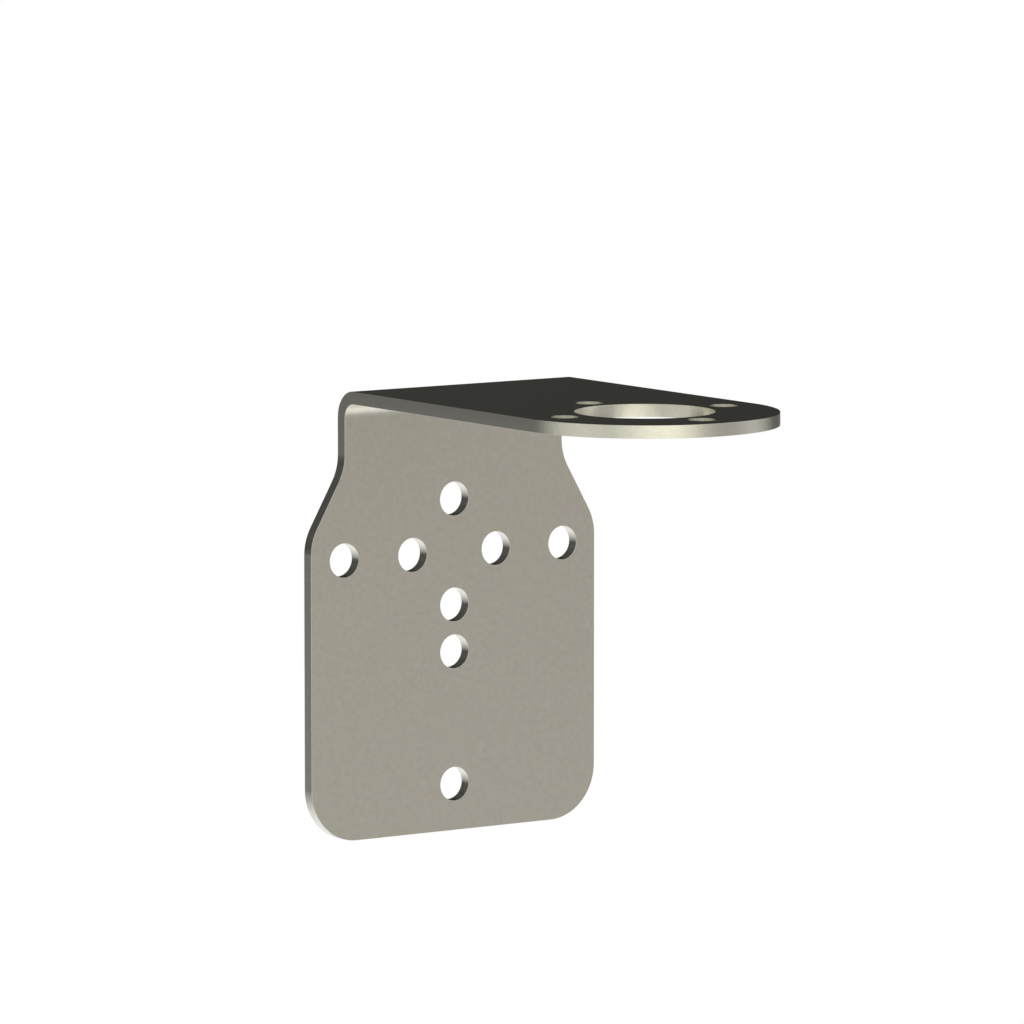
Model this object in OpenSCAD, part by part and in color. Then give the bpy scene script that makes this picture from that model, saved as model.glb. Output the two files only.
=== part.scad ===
// Right-angle sensor bracket, cut from one sheet of stainless steel and folded once.
// A wall plate with sloping shoulders turns through a bend into an arm, and the arm's round end
// carries a sensor in its large hole. Sizes are in millimetres.
// X runs across the plate, +Y points into the wall and +Z points up. The origin lies on the plate's
// back face, at the middle of its row of four holes, and heights are measured from that row.

/* [Sheet] */
// Thickness of the sheet
sheet_t = 3; // [1.5:0.5:6]
// Inside radius of the bend
bend_r = 3.5; // [1.5:0.5:8]

/* [Wall plate] */
// Width of the plate below its shoulders
plate_w = 80; // [72:0.5:120]
// Depth of the plate's bottom edge below the row of holes
plate_drop = 66; // [56:0.5:120]
// Radius of the plate's bottom corners
corner_r = 12.5; // [2:0.5:25]
// Straight height of the neck, from the bend down to the shoulders' upper corners
neck_h = 12; // [6:0.5:16]
// Angle between a shoulder and the plate's side, in degrees
shoulder_angle = 30; // [15:1:50]
// Radius that rounds both ends of a shoulder
shoulder_r = 12.5; // [1:0.5:24]

/* [Wall holes] */
// Diameter of the holes in the plate
wall_hole_d = 8; // [4:0.1:10]
// Distance between the two inner holes of the row
inner_pitch = 23.5; // [14:0.5:36]
// Distance from the plate's side to the outer hole of the row
outer_edge = 9.2; // [7:0.1:16]
// Distance between the hole above the row and the first hole below it, centred on the row
upper_pitch = 25; // [16:0.5:40]
// Distance from the first hole below the row to the second
lower_pitch = 11.1; // [10.5:0.1:20]
// Distance from the plate's bottom edge to the lowest hole
bottom_edge = 11; // [7:0.5:20]

/* [Sensor holes] */
// Diameter of the sensor hole
sensor_d = 32; // [12:0.5:40]
// Distance from the sensor hole's rim out to the circle of the screw holes
screw_offset = 6; // [4:0.1:9]
// Diameter of the screw holes
screw_d = 6.4; // [2:0.1:9]
// Number of screw holes
screw_count = 4; // [2:1:8]

/* [Arm] */
// Height of the arm's top face above the row of holes
arm_rise = 39.7; // [34:0.1:80]
// Distance from the plate's back face to the sensor hole's axis
arm_reach = 80; // [40:0.5:160]
// Width of the arm's rim outside the circle of the screw holes
arm_rim = 8.6; // [5:0.1:12]

/* [Hidden] */
$fn = 128;

steel = [0.62, 0.60, 0.55];

// The arm is as wide as its sensor holes and rim, and the neck takes its width from the arm
screw_circle_r = sensor_d / 2 + screw_offset;
arm_end_r = screw_circle_r + arm_rim;
arm_w = 2 * arm_end_r;

// The bend's axis lies this far in front of the back face and below the arm's top face
bend_offset = sheet_t + bend_r;
neck_top_z = arm_rise - bend_offset;

// Corners of a shoulder before rounding
side_x = plate_w / 2;
neck_x = arm_w / 2;
shoulder_top_z = neck_top_z - neck_h;
shoulder_bottom_z = shoulder_top_z - (side_x - neck_x) / tan(shoulder_angle);

// Rounding of a shoulder: centre heights of its two arcs, and the run and rise of each arc
round_z = shoulder_r * tan(shoulder_angle / 2);
upper_arc_z = shoulder_top_z + round_z;
lower_arc_z = shoulder_bottom_z - round_z;
arc_run = shoulder_r * (1 - cos(shoulder_angle));
arc_rise = shoulder_r * sin(shoulder_angle);

// One side of the plate from the bend down to the bottom edge, with a chord in place of each arc
plate_side = [
    [neck_x, neck_top_z],
    [neck_x, upper_arc_z],
    [neck_x + arc_run, upper_arc_z - arc_rise],
    [side_x - arc_run, lower_arc_z + arc_rise],
    [side_x, lower_arc_z],
    [side_x, corner_r - plate_drop],
    [side_x - corner_r, -plate_drop]
];

// Centres of the plate's holes
first_lower_z = -upper_pitch / 2;
outer_x = side_x - outer_edge;
wall_holes = [
    [0, upper_pitch / 2],
    [0, first_lower_z],
    [0, first_lower_z - lower_pitch],
    [0, bottom_edge - plate_drop],
    for (x = [inner_pitch / 2, outer_x], side = [-1, 1]) [side * x, 0]
];

// The same points on the other side of the centre line, in the opposite order
function mirrored(points) = [for (i = [len(points) - 1:-1:0]) [-points[i].x, points[i].y]];

// Full outline of the plate: the chords' segments are filled on outer rounds and cut on inner ones
module plate_outline() {
    difference() {
        union() {
            polygon(concat(plate_side, mirrored(plate_side)));
            for (side = [-1, 1]) {
                translate([side * (side_x - corner_r), corner_r - plate_drop])
                    circle(r = corner_r);
                translate([side * (side_x - shoulder_r), lower_arc_z])
                    circle(r = shoulder_r);
            }
        }
        for (side = [-1, 1])
            translate([side * (neck_x + shoulder_r), upper_arc_z])
                circle(r = shoulder_r);
    }
}

// Outline of the arm from the bend to its round end
module arm_outline() {
    translate([-neck_x, -arm_reach])
        square([arm_w, arm_reach - bend_offset]);
    translate([0, -arm_reach])
        circle(r = arm_end_r);
}

module sensor_holes() {
    circle(d = sensor_d);
    for (i = [0:screw_count - 1])
        rotate(i * 360 / screw_count)
            translate([screw_circle_r, 0])
                circle(d = screw_d);
}

// Upright plate, its back face on the wall
module wall_plate() {
    rotate([90, 0, 0])
        linear_extrude(sheet_t)
            difference() {
                plate_outline();
                for (centre = wall_holes)
                    translate(centre)
                        circle(d = wall_hole_d);
            }
}

// Quarter turn of the sheet from the plate's neck into the arm
module bend() {
    translate([-neck_x, -bend_offset, neck_top_z])
        rotate([90, 0, 90])
            rotate_extrude(angle = 90)
                translate([bend_r, 0])
                    square([sheet_t, arm_w]);
}

// Level arm with the sensor hole at its round end
module arm() {
    translate([0, 0, arm_rise - sheet_t])
        linear_extrude(sheet_t)
            difference() {
                arm_outline();
                translate([0, -arm_reach])
                    sensor_holes();
            }
}

module bracket() {
    color(steel)
        union() {
            wall_plate();
            bend();
            arm();
        }
}

bracket();
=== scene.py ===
"""Looks of the sensor mounting bracket: satin stainless sheet in a plain white studio.

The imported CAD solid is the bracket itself. Modifiers break its sharp edges as deburring does, and one
procedural material covers its sheet faces and cut edges. Everything is in the part's own frame, in
metres: +X across the plate, +Y into the wall, +Z up.
"""
import math

import bpy
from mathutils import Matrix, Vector


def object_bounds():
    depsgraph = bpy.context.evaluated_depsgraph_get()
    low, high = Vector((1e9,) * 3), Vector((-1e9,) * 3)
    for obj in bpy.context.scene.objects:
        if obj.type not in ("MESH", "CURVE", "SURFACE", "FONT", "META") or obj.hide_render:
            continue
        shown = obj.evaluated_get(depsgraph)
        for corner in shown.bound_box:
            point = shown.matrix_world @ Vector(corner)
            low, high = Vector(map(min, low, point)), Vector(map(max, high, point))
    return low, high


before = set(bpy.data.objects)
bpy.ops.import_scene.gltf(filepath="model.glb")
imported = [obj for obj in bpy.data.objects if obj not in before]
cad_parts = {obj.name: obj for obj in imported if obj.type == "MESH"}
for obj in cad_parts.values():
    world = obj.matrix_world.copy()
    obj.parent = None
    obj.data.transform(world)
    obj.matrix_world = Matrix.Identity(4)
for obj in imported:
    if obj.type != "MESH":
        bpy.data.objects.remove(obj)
cad_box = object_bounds()

MM = 0.001
MICRON = 0.000001
MM_PER_METRE = 1000.0

# Camera: a long lens, to the left of the bracket and a little above its arm. Angles are in degrees
CAMERA_AZIMUTH = -34.391
CAMERA_ELEVATION = 6.689
CAMERA_AIM = Vector((-2.12, -30.0, 12.08)) * MM
CAMERA_DISTANCE = 1.82
CAMERA_LENS = 276.74
CAMERA_SENSOR = 36.0

# The sheet, in millimetres: its thickness, the inner radius of its bend, and a point on the bend's axis
SHEET = 3.0
BEND_RADIUS = 3.5
BEND_DEPTH = SHEET + BEND_RADIUS
BEND_AXIS = (0.0, cad_box[1].y / MM - BEND_DEPTH, cad_box[1].z / MM - BEND_DEPTH)

# Deburred edges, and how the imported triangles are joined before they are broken
EDGE_BREAK = 0.06 * MM
EDGE_BREAK_STEPS = 2
SHARP_ANGLE = math.radians(40)
FLAT_ANGLE = math.radians(0.5)
WELD_DISTANCE = 0.001 * MM

# Steel: two light greys that differ a little, from grain to grain
STEEL_LIGHT = (0.891, 0.877, 0.823, 1.0)
STEEL_DARK = (0.829, 0.817, 0.767, 1.0)

# Fine grain of the rolled faces, the same in all directions. Its relief is in microns
GRAIN_PER_MM = 0.75
GRAIN_DETAIL = 3.0
GRAIN_HARSHNESS = 0.95
GRAIN_RELIEF = 12.0
FACE_ROUGHNESS = (0.262, 0.268)

# Striations that the cutting left across the edges. Their relief is in microns
STRIATIONS_PER_MM = 1.4
STRIATION_DETAIL = 3.0
STRIATION_HARSHNESS = 0.5
STRIATION_RELIEF = 3.0
EDGE_ROUGHNESS = (0.26, 0.27)

# The part of a noise's range that carries most of its variation
NOISE_SPAN = (0.3, 0.7)

# How squarely a surface faces across the sheet: a cut edge below the first value, a face above the second
FACE_LIMITS = (0.55, 0.85)

# Edges rubbed bright by handling: how far in the wear reaches, and the cosine of the angle between the
# surface and a rounded edge at which it starts and at which it is full
WORN_REACH = 0.35 * MM
WORN_RAYS = 4
WORN_COSINES = (0.999, 0.93)
WORN_STEEL = (0.929, 0.915, 0.859, 1.0)
WORN_ROUGHNESS = 0.22

# Studio: brightness of the surround by height above the horizon, in degrees
SURROUND_TINT = (1.00, 1.00, 0.95)
SURROUND = (
    (-90, 0.50),
    (-50, 0.29),
    (-22, 0.28),
    (-12, 0.265),
    (-5, 0.035),
    (2, 0.0),
    (12, 0.0),
    (30, 0.04),
    (55, 0.10),
    (90, 0.32),
)

# Soft lights: colour and strength, then azimuth, height and reach in degrees
SOFT_LIGHTS = {
    "front_high": ((0.87, 0.86, 0.71), -99, 18, 42),
    "front_low": ((0.65, 0.63, 0.53), -112, -33, 43),
    "left": ((0.63, 0.62, 0.54), 182, 21, 61),
    "right_high": ((0.86, 0.84, 0.78), -31, 27, 38),
    "right_low": ((0.72, 0.70, 0.64), -14, -35, 40),
    "back_low": ((0.64, 0.64, 0.62), 74, -44, 57),
    "front_right": ((0.26, 0.24, 0.21), -62, 5, 30),
    "left_front": ((0.38, 0.38, 0.32), -133, -2, 22),
}
WHITE = (1.0, 1.0, 1.0, 1.0)

# Floor, in metres: far below the bracket, which hangs on a wall, so that no shadow is in view
FLOOR_DROP = 1.5
FLOOR_SIZE = 200.0


def direction(azimuth, height):
    """Unit vector turned from +X towards +Y, and raised above the horizon, in degrees."""
    a, h = math.radians(azimuth), math.radians(height)
    return Vector((math.cos(a) * math.cos(h), math.sin(a) * math.cos(h), math.sin(h)))


class Nodes:
    """A node tree under construction. Each method adds one node and returns an output of it."""

    # Where a Mix node has the first input and the output of each kind of data
    MIX_INPUT = {"FLOAT": 2, "RGBA": 6}
    MIX_OUTPUT = {"FLOAT": 0, "RGBA": 2}

    def __init__(self, owner):
        owner.use_nodes = True
        self.tree = owner.node_tree
        self.tree.nodes.clear()

    def add(self, kind, inputs, settings=None, output=0):
        """Adds a node of any kind. An input is a value, or the output of another node."""
        node = self.tree.nodes.new(kind)
        for name, value in (settings or {}).items():
            setattr(node, name, value)
        for name, value in inputs.items():
            socket = node.inputs[name]
            if isinstance(value, bpy.types.NodeSocket):
                self.tree.links.new(value, socket)
            else:
                socket.default_value = value
        return node.outputs[output] if node.outputs else None

    def math(self, operation, *values):
        return self.add("ShaderNodeMath", dict(enumerate(values)), {"operation": operation})

    def vector(self, operation, *values, output="Vector"):
        settings = {"operation": operation}
        return self.add("ShaderNodeVectorMath", dict(enumerate(values)), settings, output)

    def scaled(self, vector, factor):
        inputs = {0: vector, "Scale": factor}
        return self.add("ShaderNodeVectorMath", inputs, {"operation": "SCALE"})

    def ranged(self, value, start, end, low=0.0, high=1.0, interpolation="SMOOTHSTEP"):
        """Carries value from start to end over into low to high, and holds it there."""
        inputs = {"Value": value, "From Min": start, "From Max": end, "To Min": low, "To Max": high}
        return self.add("ShaderNodeMapRange", inputs, {"interpolation_type": interpolation})

    def noise(self, place, fineness, detail, harshness):
        inputs = {"Vector": place, "Scale": fineness, "Detail": detail, "Roughness": harshness}
        return self.add("ShaderNodeTexNoise", inputs)

    def mixed(self, kind, factor, a, b):
        """Blends from a to b. Kind is FLOAT or RGBA."""
        first = self.MIX_INPUT[kind]
        inputs = {0: factor, first: a, first + 1: b}
        return self.add("ShaderNodeMix", inputs, {"data_type": kind}, self.MIX_OUTPUT[kind])


def add_object(name, data):
    thing = bpy.data.objects.new(name, data)
    bpy.context.scene.collection.objects.link(thing)
    return thing


def make_camera():
    """Looks at the aim from its azimuth, which is 0 for a view along +Y."""
    lens = bpy.data.cameras.new("camera")
    lens.lens = CAMERA_LENS
    lens.sensor_width = CAMERA_SENSOR
    camera = add_object("camera", lens)
    back = direction(CAMERA_AZIMUTH - 90, CAMERA_ELEVATION)
    camera.location = CAMERA_AIM + back * CAMERA_DISTANCE
    camera.rotation_euler = (-back).to_track_quat("-Z", "Y").to_euler()
    bpy.context.scene.camera = camera


def make_world():
    """Soft light from all round for the bracket, and plain white for the camera."""
    world = bpy.data.worlds.new("studio")
    bpy.context.scene.world = world
    n = Nodes(world)
    ray = n.add("ShaderNodeTexCoord", {}, output="Generated")
    rise = n.add("ShaderNodeSeparateXYZ", {"Vector": ray}, output="Z")
    share = n.ranged(rise, -1.0, 1.0, interpolation="LINEAR")
    light = n.add("ShaderNodeValToRGB", {"Fac": share})
    stops = light.node.color_ramp.elements
    while len(stops) < len(SURROUND):
        stops.new(0.0)
    for stop, (height, level) in zip(stops, SURROUND):
        stop.position = 0.5 + 0.5 * math.sin(math.radians(height))
        stop.color = (*(level * tint for tint in SURROUND_TINT), 1.0)
    for colour, azimuth, height, reach in SOFT_LIGHTS.values():
        aim = n.vector("DOT_PRODUCT", ray, direction(azimuth, height), output="Value")
        glow = n.ranged(aim, math.cos(math.radians(reach)), 1.0)
        light = n.vector("ADD", light, n.scaled(colour, glow))
    studio = n.add("ShaderNodeBackground", {"Color": light})
    white = n.add("ShaderNodeBackground", {"Color": WHITE})
    seen = n.add("ShaderNodeLightPath", {}, output="Is Camera Ray")
    both = n.add("ShaderNodeMixShader", {0: seen, 1: studio, 2: white})
    n.add("ShaderNodeOutputWorld", {"Surface": both})


def make_floor():
    """A wide white floor that only the camera sees: the surround lights the bracket from below."""
    half = FLOOR_SIZE / 2
    z = cad_box[0].z - FLOOR_DROP
    mesh = bpy.data.meshes.new("floor")
    corners = [(-half, -half, z), (half, -half, z), (half, half, z), (-half, half, z)]
    mesh.from_pydata(corners, [], [(0, 1, 2, 3)])
    floor = add_object("floor", mesh)
    floor.visible_glossy = False
    floor.visible_diffuse = False
    floor.visible_shadow = False
    material = bpy.data.materials.new("floor_white")
    n = Nodes(material)
    glow = n.add("ShaderNodeEmission", {"Color": WHITE})
    n.add("ShaderNodeOutputMaterial", {"Surface": glow})
    mesh.materials.append(material)


def make_steel():
    """Satin stainless: grain on the sheet's faces, striations across its cut edges, and rubbed edges."""
    material = bpy.data.materials.new("satin_stainless")
    n = Nodes(material)
    place = n.scaled(n.add("ShaderNodeTexCoord", {}, output="Object"), MM_PER_METRE)

    # The way across the sheet: along Y in the plate, along Z in the arm, and round the axis in the bend
    from_axis = n.vector("SUBTRACT", place, BEND_AXIS)
    outwards = n.vector("MAXIMUM", from_axis, (0.0, 0.0, 0.0))
    across = n.vector("NORMALIZE", n.vector("MULTIPLY", outwards, (0.0, 1.0, 1.0)))
    normal = n.add("ShaderNodeNewGeometry", {}, output="Normal")
    squareness = n.math("ABSOLUTE", n.vector("DOT_PRODUCT", normal, across, output="Value"))
    is_face = n.ranged(squareness, *FACE_LIMITS)

    # A point's place along the sheet, so that striations run straight through its thickness
    depth = n.vector("DOT_PRODUCT", place, across, output="Value")
    along = n.vector("SUBTRACT", place, n.scaled(across, depth))

    # Faces and cut edges
    grain = n.noise(place, GRAIN_PER_MM, GRAIN_DETAIL, GRAIN_HARSHNESS)
    striations = n.noise(along, STRIATIONS_PER_MM, STRIATION_DETAIL, STRIATION_HARSHNESS)
    face_height = n.math("MULTIPLY", grain, GRAIN_RELIEF)
    edge_height = n.math("MULTIPLY", striations, STRIATION_RELIEF)
    relief = n.mixed("FLOAT", is_face, edge_height, face_height)
    face_roughness = n.ranged(grain, *NOISE_SPAN, *FACE_ROUGHNESS, interpolation="LINEAR")
    edge_roughness = n.ranged(striations, *NOISE_SPAN, *EDGE_ROUGHNESS, interpolation="LINEAR")
    roughness = n.mixed("FLOAT", is_face, edge_roughness, face_roughness)
    shade = n.ranged(grain, *NOISE_SPAN)
    colour = n.mixed("RGBA", shade, STEEL_DARK, STEEL_LIGHT)

    # Wear, which takes the light grains first
    rounded = n.add("ShaderNodeBevel", {"Radius": WORN_REACH}, {"samples": WORN_RAYS})
    lean = n.vector("DOT_PRODUCT", normal, rounded, output="Value")
    worn = n.math("MULTIPLY", n.ranged(lean, *WORN_COSINES), shade)

    shader = n.add("ShaderNodeBsdfPrincipled", {
        "Metallic": 1.0,
        "Base Color": n.mixed("RGBA", worn, colour, WORN_STEEL),
        "Roughness": n.mixed("FLOAT", worn, roughness, WORN_ROUGHNESS),
        "Normal": n.add("ShaderNodeBump", {"Height": relief, "Distance": MICRON}),
    })
    n.add("ShaderNodeOutputMaterial", {"Surface": shader})
    return material


def dress_bracket():
    """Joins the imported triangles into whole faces, breaks the sharp edges and puts the steel on."""
    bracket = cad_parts["bracket"]
    weld = bracket.modifiers.new("weld", "WELD")
    weld.merge_threshold = WELD_DISTANCE
    flats = bracket.modifiers.new("whole faces", "DECIMATE")
    flats.decimate_type = "DISSOLVE"
    flats.angle_limit = FLAT_ANGLE
    edges = bracket.modifiers.new("edge break", "BEVEL")
    edges.limit_method = "ANGLE"
    edges.angle_limit = SHARP_ANGLE
    edges.width = EDGE_BREAK
    edges.segments = EDGE_BREAK_STEPS
    normals = bracket.modifiers.new("face normals", "WEIGHTED_NORMAL")
    normals.mode = "FACE_AREA"
    bracket.material_slots[0].material = make_steel()


bpy.context.scene.view_settings.view_transform = "Standard"
make_camera()
make_world()
make_floor()
dress_bracket()
